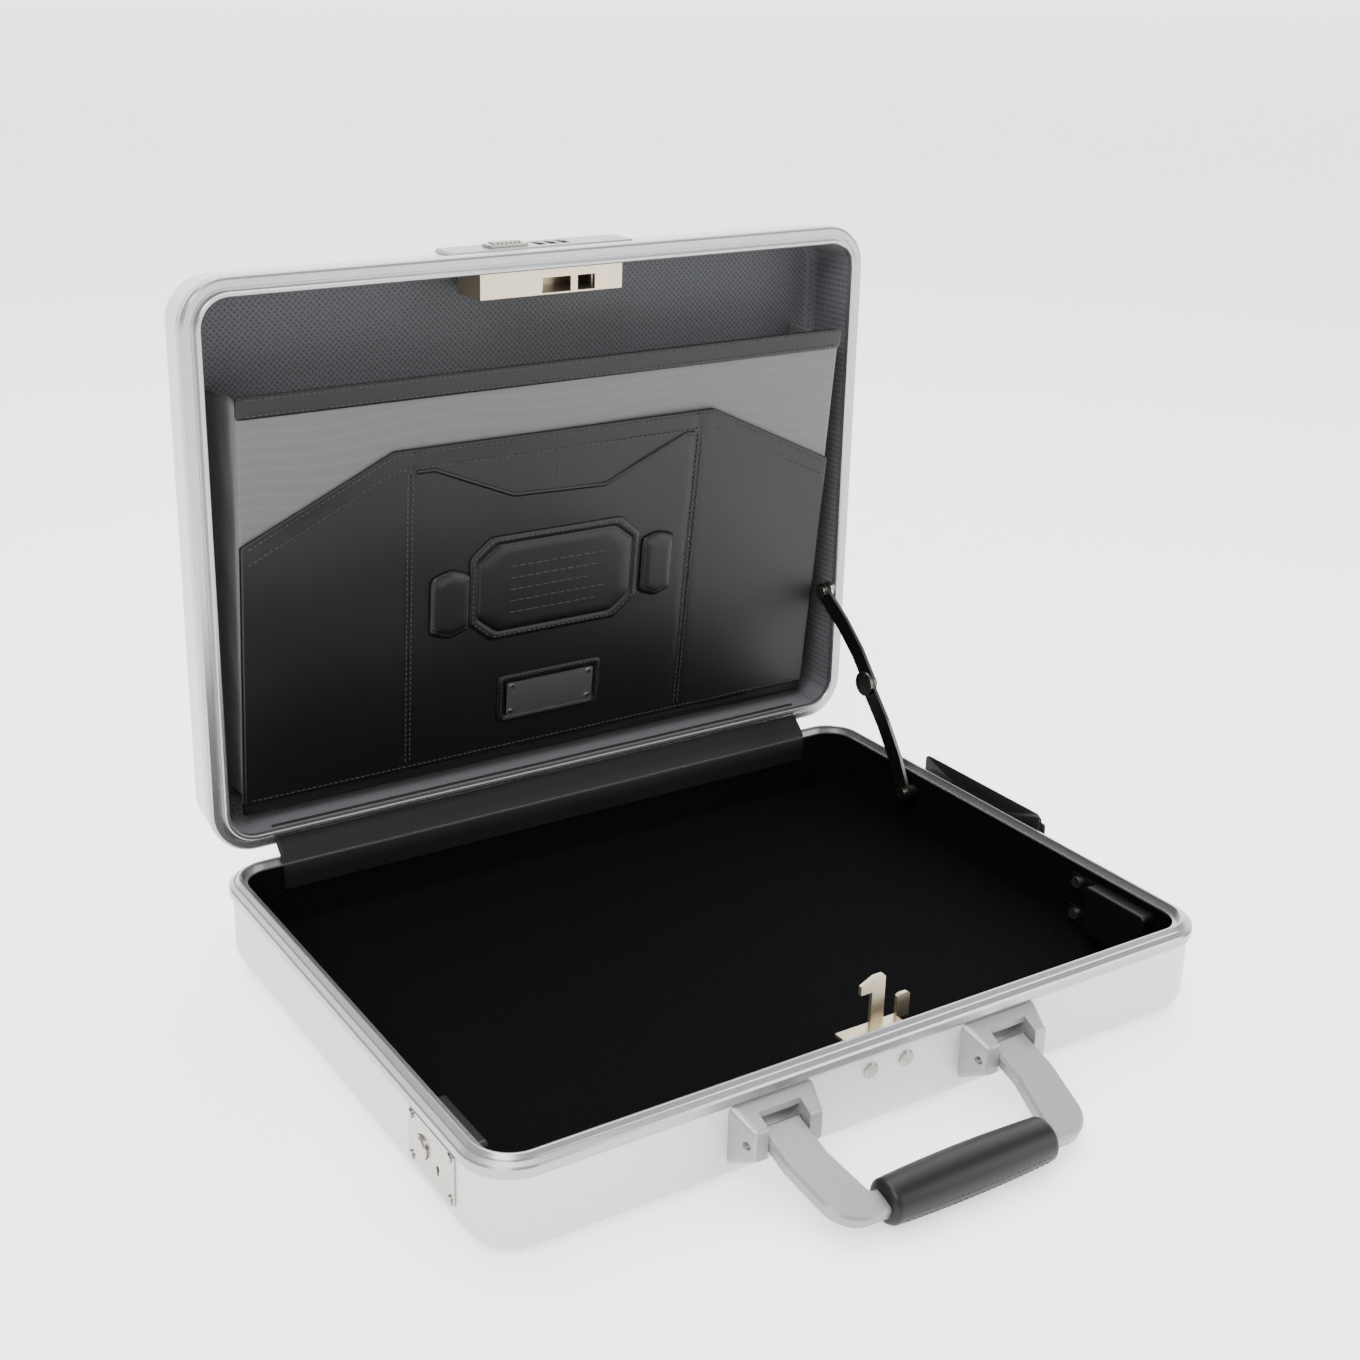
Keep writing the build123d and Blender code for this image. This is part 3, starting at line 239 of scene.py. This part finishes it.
def stitches(name, place, lines, body, height, pitch=3.2, length=2.3, radius=0.32):
    """Rows of thread: along each line of (a, b) places a closed six-sided bead every pitch, lying on the surface."""
    turn = np.arange(6) * np.pi / 3
    ends = np.array([-1.0, -0.6, 0.6, 1.0])
    fat = np.array([0.15, 1.0, 1.0, 0.15])
    points, faces, count = [], [], 0
    for line in lines:
        line = np.array(line, float)
        run = np.concatenate([[0], np.cumsum(np.linalg.norm(np.diff(line, axis=0), axis=1))])
        mids = np.arange(pitch, run[-1] - pitch / 2, pitch)
        for mid in mids:
            a = np.array([np.interp(mid - length / 2, run, line[:, k]) for k in (0, 1)])
            b = np.array([np.interp(mid + length / 2, run, line[:, k]) for k in (0, 1)])
            centre, way = (a + b) / 2, (b - a) / np.linalg.norm(b - a)
            side = np.array([-way[1], way[0]])
            along = centre + way * ends[:, None] * length / 2
            flat = along[:, None, :] + side * (np.cos(turn)[None, :, None] * fat[:, None, None] * radius * 1.2)
            tall = height + np.sin(turn)[None, :] * fat[:, None] * radius
            points.append(place(flat[..., 0], flat[..., 1], tall).reshape(-1, 3))
            index = count + np.arange(24).reshape(4, 6)
            nxt = np.roll(index, -1, 1)
            faces += np.stack([index[:-1], nxt[:-1], nxt[1:], index[1:]], -1).reshape(-1, 4).tolist()
            faces += [index[0][::-1].tolist(), index[-1].tolist()]
            count += 24
    return mesh_piece(name, np.concatenate(points), faces, THREAD, body)


def ripple(a, b, size, grain):
    """Soft uneven folds: a sum of three crossed sine waves of about one grain's length."""
    return size * (
        np.sin(a / grain + 1.3 * np.sin(b / grain / 1.7)) * 0.5
        + np.sin(b / grain * 1.4 + 0.8 * np.sin(a / grain / 2.1) + 1.0) * 0.35
        + np.sin((a + b) / grain * 0.63 + 2.0) * 0.3
    )


# ---- pocket front, gussets and trim -------------------------------------------------------
WIDE = 187.0
u, p = np.meshgrid(np.linspace(-WIDE, WIDE, 220), np.linspace(-133, 90, 130), indexing="ij")
edge_fade = np.clip((WIDE - np.abs(u)) / 25, 0, 1)
belly = ripple(u, p, 0.7, 26) * edge_fade
face = pocket_point(u, p, belly)
rear = pocket_point(u, p, belly - 1.4)
pocket_cloth = slab("pocket_front_cloth", face, rear, "grey_nylon", "lid", ("pocket_panel",))


def gusset(name, side, node):
    """A folding side: a sheet from the pocket's edge back to the lid's floor, bowed inwards along its middle."""
    t, s = np.meshgrid(np.linspace(-132, 92, 120), np.linspace(0, 1, 40), indexing="ij")
    low = -9 + (90 - t) * SLOPE + 1.5
    w = low + (37.2 - low) * s
    bow = -3.2 * np.sin(np.pi * s) + ripple(t, w * 2.2, 0.5, 9) * np.sin(np.pi * s)
    near = lid_point(side * (186.4 + bow), -t, w)
    far = lid_point(side * (187.2 + bow), -t, w)
    made = slab(name, near if side > 0 else far, far if side > 0 else near, "grey_nylon", "lid", (node,))


gusset("pocket_side_fold_left", -1, "pocket_gusset_left")
gusset("pocket_side_fold_right", 1, "pocket_gusset_right")
EDGE = [(0.0, 1.2), (0.35, 1.75), (0.9, 2.0)]
patch("pocket_top_trim", pocket_point, [(-WIDE - 1, 85), (WIDE + 1, 85), (WIDE + 1, 97), (-WIDE - 1, 97)], 1.5, EDGE,
      "black_leather", "lid", base=-0.6)
stitches("trim_stitching", pocket_point, [[(-185, y), (185, y)] for y in (86.8, 95.2)], "lid", 1.55)
patch("pocket_foot_band", pocket_point, [(-WIDE, -140), (WIDE, -140), (WIDE, -132), (-WIDE, -132)], 1.0, EDGE, SATIN,
      "lid", base=-0.9)

# ---- organiser ----------------------------------------------------------------------------
SIDE_TOP, FLAT_TOP, FLAT_HALF = 17.0, 58.0, 101.0


def organiser_top(across):
    """Height of the organiser's top edge: level in the middle, falling in a straight line to each side."""
    return np.interp(np.abs(across), [FLAT_HALF, WIDE], [FLAT_TOP, SIDE_TOP])


def organiser_lift(across, up):
    """Height of the leather's face: shallow folds that fade out near its top edge, sewn down along two uprights."""
    seam = np.exp(-((np.abs(across) - 90) / 3.0) ** 2)
    rim = np.clip((organiser_top(across) - up) / 8, 0, 1)
    return 2.0 + ripple(across, up, 0.35, 17) * rim - 0.45 * seam


u, s = np.meshgrid(np.linspace(-WIDE, WIDE, 300), np.linspace(0, 1, 160), indexing="ij")
p = -133 + s * (organiser_top(u) + 133)
lift = organiser_lift(u, p)
slab("organiser_leather", pocket_point(u, p, lift + 0.4), pocket_point(u, p, -0.2 + 0 * lift), "black_leather", "lid",
     ("organiser_panel",))


def top_edge(drop, half=185.0):
    """The organiser's top edge lowered by drop."""
    return [(-half, SIDE_TOP - drop), (-FLAT_HALF, FLAT_TOP - drop), (FLAT_HALF, FLAT_TOP - drop), (half, SIDE_TOP - drop)]


rows = [top_edge(2.2), top_edge(10.8)]
rows += [[(side * (91 + k), 46), (side * (89 + k), -130)] for side in (-1, 1) for k in (0, 2.6)]
rows += [[(-185, -131), (185, -131)]]
rows += [[(-78, 44), (-29, 23), (30, 21), (82, 44)], [(-1, 43), (-2, 21)]]
stitches("organiser_stitching", pocket_point, rows, "lid", 2.55)
ridge = np.array([(-88, 45), (-78, 45), (-29, 24), (30, 22), (82, 45), (88, 45)], float)
across = np.array([-1.4, -1.1, 0, 1.1, 1.4])
along = np.stack([np.interp(np.linspace(0, 5, 160), np.arange(6), ridge[:, k]) for k in (0, 1)], -1)
grid_u = np.repeat(along[:, :1], 5, 1)
grid_p = along[:, 1:] + across
high = np.broadcast_to(2.3 + 0.9 * np.array([0.0, 0.75, 1.0, 0.75, 0.0]), grid_u.shape)
slab("organiser_pocket_edge", pocket_point(grid_u, grid_p, high), pocket_point(grid_u, grid_p, 1.5 + 0 * high),
     "black_leather", "lid")
OCTAGON = [(-41, -62), (41, -62), (55, -50), (55, -10), (42, 1), (-42, 1), (-55, -10), (-55, -50)]
patch("octagon_patch_leather", pocket_point, OCTAGON, 2.0,
      [(0, 1.3), (0.5, 1.8), (4.2, 1.9), (4.8, 1.5), (5.6, 1.5), (6.3, 2.3), (7.2, 2.6)],
      "black_leather", "lid", ("octagon_patch",), base=1.9, soft=lambda a, b: ripple(a, b, 0.08, 9))
loop = rounded(OCTAGON, 2.0)
ring = inset(loop if np.sum(loop[:, 0] * np.roll(loop[:, 1], -1) - loop[:, 1] * np.roll(loop[:, 0], -1)) > 0 else loop[::-1], 2.4)
stitches("octagon_stitching", pocket_point, [np.concatenate([ring, ring[:1]])], "lid", 3.85)
stitches("octagon_embossed_lines", pocket_point, [[(-33, y), (33 - k % 3 * 4, y)] for k, y in enumerate((-18, -25, -32, -39, -46))],
         "lid", 4.45, pitch=5.2, length=4.4, radius=0.3)
for name, corners in (
    ("pen_loop_left", [(-79, -18), (-66, -14), (-55, -18), (-55, -52), (-67, -56), (-79, -52)]),
    ("pen_loop_right", [(57, -15), (68, -12), (79, -15), (79, -49), (68, -53), (57, -49)]),
):
    stands = ("pen_loops",) if name.endswith("left") else ()
    patch(name, pocket_point, corners, 3.0, [(0, 1.6), (0.8, 2.6), (2.5, 3.4), (5, 3.9)], "black_leather", "lid", stands, base=1.9)
    loop_line = np.array(corners + corners[:1], float)
    middle = loop_line[:-1].mean(0)
    stitches(name + "_stitching", pocket_point, [middle + (loop_line - middle) * 0.86], "lid", 5.2, pitch=2.6, length=1.8, radius=0.25)
patch("identity_frame_leather", pocket_point, [(-34, -116), (34, -116), (34, -86), (-34, -86)], 3.0,
      [(0, 0.9), (0.5, 1.3), (3.6, 1.3), (4.0, 0.7)], "black_leather", "lid", ("id_frame",), base=1.9)
stitches("identity_stitching", pocket_point,
         [[(-32, -114), (32, -114), (32, -88), (-32, -88), (-32, -114)]], "lid", 3.3, pitch=2.6, length=1.8, radius=0.25)

# ---- hinge cover --------------------------------------------------------------------------
PROFILE = np.array([(144.7, 33), (144.6, 42), (145.6, 48), (149, 53), (153.5, 57), (157.5, 61.5), (159.5, 66.2)])
run = np.concatenate([[0], np.cumsum(np.linalg.norm(np.diff(PROFILE, axis=0), axis=1))])
x, t = np.meshgrid(np.linspace(-175, 175, 160), np.linspace(0, run[-1], 40), indexing="ij")
y = np.interp(t, run, PROFILE[:, 0])
z = np.interp(t, run, PROFILE[:, 1])
for _ in range(4):
    y[:, 1:-1] = (y[:, :-2] + 2 * y[:, 1:-1] + y[:, 2:]) / 4
    z[:, 1:-1] = (z[:, :-2] + 2 * z[:, 1:-1] + z[:, 2:]) / 4
wave = ripple(x, t * 2, 0.16, 12)
near = np.stack([x, y - 0.3 + wave, z + 0.3], -1) * MM
far = np.stack([x, y + 0.3 + wave, z - 0.3], -1) * MM
cover = slab("hinge_cover_strip", far[:, ::-1], near[:, ::-1], SATIN, None, ("hinge_cover",))
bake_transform(cover)

# ---- card holder --------------------------------------------------------------------------
CARD = [(-27, 24), (70, 24), (70, 57.5), (-27, 57.5)]
patch("card_holder_back_leather", right_wall_point, CARD, 2.5, [(0, 1.0), (0.3, 1.2)], "black_leather", "base",
      ("card_holder_back",), base=2.3)
patch("card_holder_front_leather", right_wall_point, [(-27, 24), (70, 24), (70, 55.5), (-27, 55.5)], 2.5,
      [(0, 1.3), (0.5, 1.7), (1.2, 1.85)], "black_leather", "base", ("card_holder_front",), base=3.6,
      soft=lambda a, b: ripple(a, b, 0.12, 14))
patch("card_holder_loop", right_wall_point, [(-29.5, 37), (-24.5, 37), (-24.5, 52), (-29.5, 52)], 1.2,
      [(0, 1.0), (0.4, 1.4)], "black_leather", "base", base=4.6)
stitches("card_holder_stitching", right_wall_point, [[(-24, 52), (-24, 27), (67, 27), (67, 52)], [(-24, 53.2), (67, 53.2)]],
         "base", 5.45)

# ---- grip sleeve --------------------------------------------------------------------------
x, a = np.meshgrid(np.linspace(-47.2, 47.2, 90), np.linspace(0, 2 * np.pi, 72, endpoint=False), indexing="ij")
girth = (11.75 - 1.3 * (x / 47.2) ** 2) * np.clip(1 - ((np.abs(x) - 44.5).clip(0) / 3.4) ** 2 * 0.35, 0, 1)
girth = girth + ripple(x, a * 12, 0.05, 7)
sleeve = np.stack([x, -208.5 + girth * np.cos(a), 12 + girth * np.sin(a) * 0.97], -1) * MM
count = a.shape[1]
index = np.arange(x.size).reshape(x.shape)
nxt = np.roll(index, -1, 1)
walls = np.stack([index[:-1], nxt[:-1], nxt[1:], index[1:]], -1).reshape(-1, 4).tolist()
ends = np.array([[-46.6, -208.5, 12], [46.6, -208.5, 12]]) * MM
walls += [[int(q), int(r), x.size] for q, r in zip(nxt[0], index[0])]
walls += [[int(q), int(r), x.size + 1] for q, r in zip(index[-1], nxt[-1])]
mesh_piece("grip_leather", np.concatenate([sleeve.reshape(-1, 3), ends]), [f[::-1] for f in walls], "black_leather",
           "handle", ("handle_grip",))


def under_grip(a, b, h):
    """A place along the grip's seam: a across, b round the sleeve in millimetres, h out of it."""
    turn = b / 11.5 - 0.35
    round_r = 11.6 - 1.3 * (a / 47.2) ** 2 + h
    return np.stack([a * MM, (-208.5 - round_r * np.cos(turn)) * MM, (12 + round_r * np.sin(turn)) * MM], -1)


stitches("grip_stitching", under_grip, [[(-43, k), (43, k)] for k in (-2.0, 2.0)], "handle", 0.12, radius=0.24)

# ---- floor, light and camera --------------------------------------------------------------
bpy.ops.mesh.primitive_plane_add(size=60, location=(0, 10, -0.0005))
floor = bpy.context.object
floor.name = "studio_floor"
floor.data.materials.append(material("pale floor", "FEFEFE", "FFFFFF", 0.7, 0, 5, 0.0))
floor_shader = floor.data.materials[0].node_tree.nodes["Principled BSDF"]
floor_shader.inputs["Emission Color"].default_value = (1, 1, 1, 1)
floor_shader.inputs["Emission Strength"].default_value = 1.0


bpy.ops.mesh.primitive_plane_add(size=80, location=(12, 24, 10), rotation=(radians(90), 0, radians(-30.94)))
backdrop = bpy.context.object
backdrop.name = "studio_backdrop"
backdrop.data.materials.append(material("white backdrop", "FEFEFE", "FFFFFF", 0.8, 0, 5, 0.0))
backdrop_shader = backdrop.data.materials[0].node_tree.nodes["Principled BSDF"]
backdrop_shader.inputs["Emission Color"].default_value = (1, 1, 1, 1)
backdrop_shader.inputs["Emission Strength"].default_value = 2.2


def area_light(name, place, aim, size, power):
    """A soft square light at place, turned towards aim."""
    data = bpy.data.lights.new(name, "AREA")
    data.size = size
    data.energy = power
    lamp = bpy.data.objects.new(name, data)
    bpy.context.scene.collection.objects.link(lamp)
    lamp.location = place
    lamp.rotation_euler = (Vector(aim) - Vector(place)).to_track_quat("-Z", "Y").to_euler()


area_light("key", (-1.2, -1.0, 1.7), (0, 0.05, 0.1), 1.2, 48)
area_light("fill", (1.3, -1.5, 0.8), (0, 0, 0.05), 1.2, 22)
area_light("top", (0.0, 0.3, 2.0), (0, 0, 0), 1.6, 44)
world = bpy.data.worlds.new("studio")
world.use_nodes = True
world.node_tree.nodes["Background"].inputs["Color"].default_value = (1.0, 1.0, 1.0, 1)
world.node_tree.nodes["Background"].inputs["Strength"].default_value = 0.85
bpy.context.scene.world = world

YAW, PITCH, ROLL = radians(30.94), radians(19.06), radians(0.48)
forward = Vector((sin(YAW) * cos(PITCH), cos(YAW) * cos(PITCH), -sin(PITCH)))
level = Vector((cos(YAW), -sin(YAW), 0))
upward = level.cross(forward)
right = level * cos(ROLL) + upward * sin(ROLL)
up = upward * cos(ROLL) - level * sin(ROLL)
lens = bpy.data.cameras.new("camera")
lens.sensor_width = 36
lens.lens = 50.0
lens.shift_x = 0.0674
lens.shift_y = -0.0632
camera = bpy.data.objects.new("camera", lens)
bpy.context.scene.collection.objects.link(camera)
turned = Matrix((right, up, -forward)).transposed().to_4x4()
camera.matrix_world = Matrix.Translation((-0.5059, -0.7252, 0.5215)) @ turned
bpy.context.scene.camera = camera
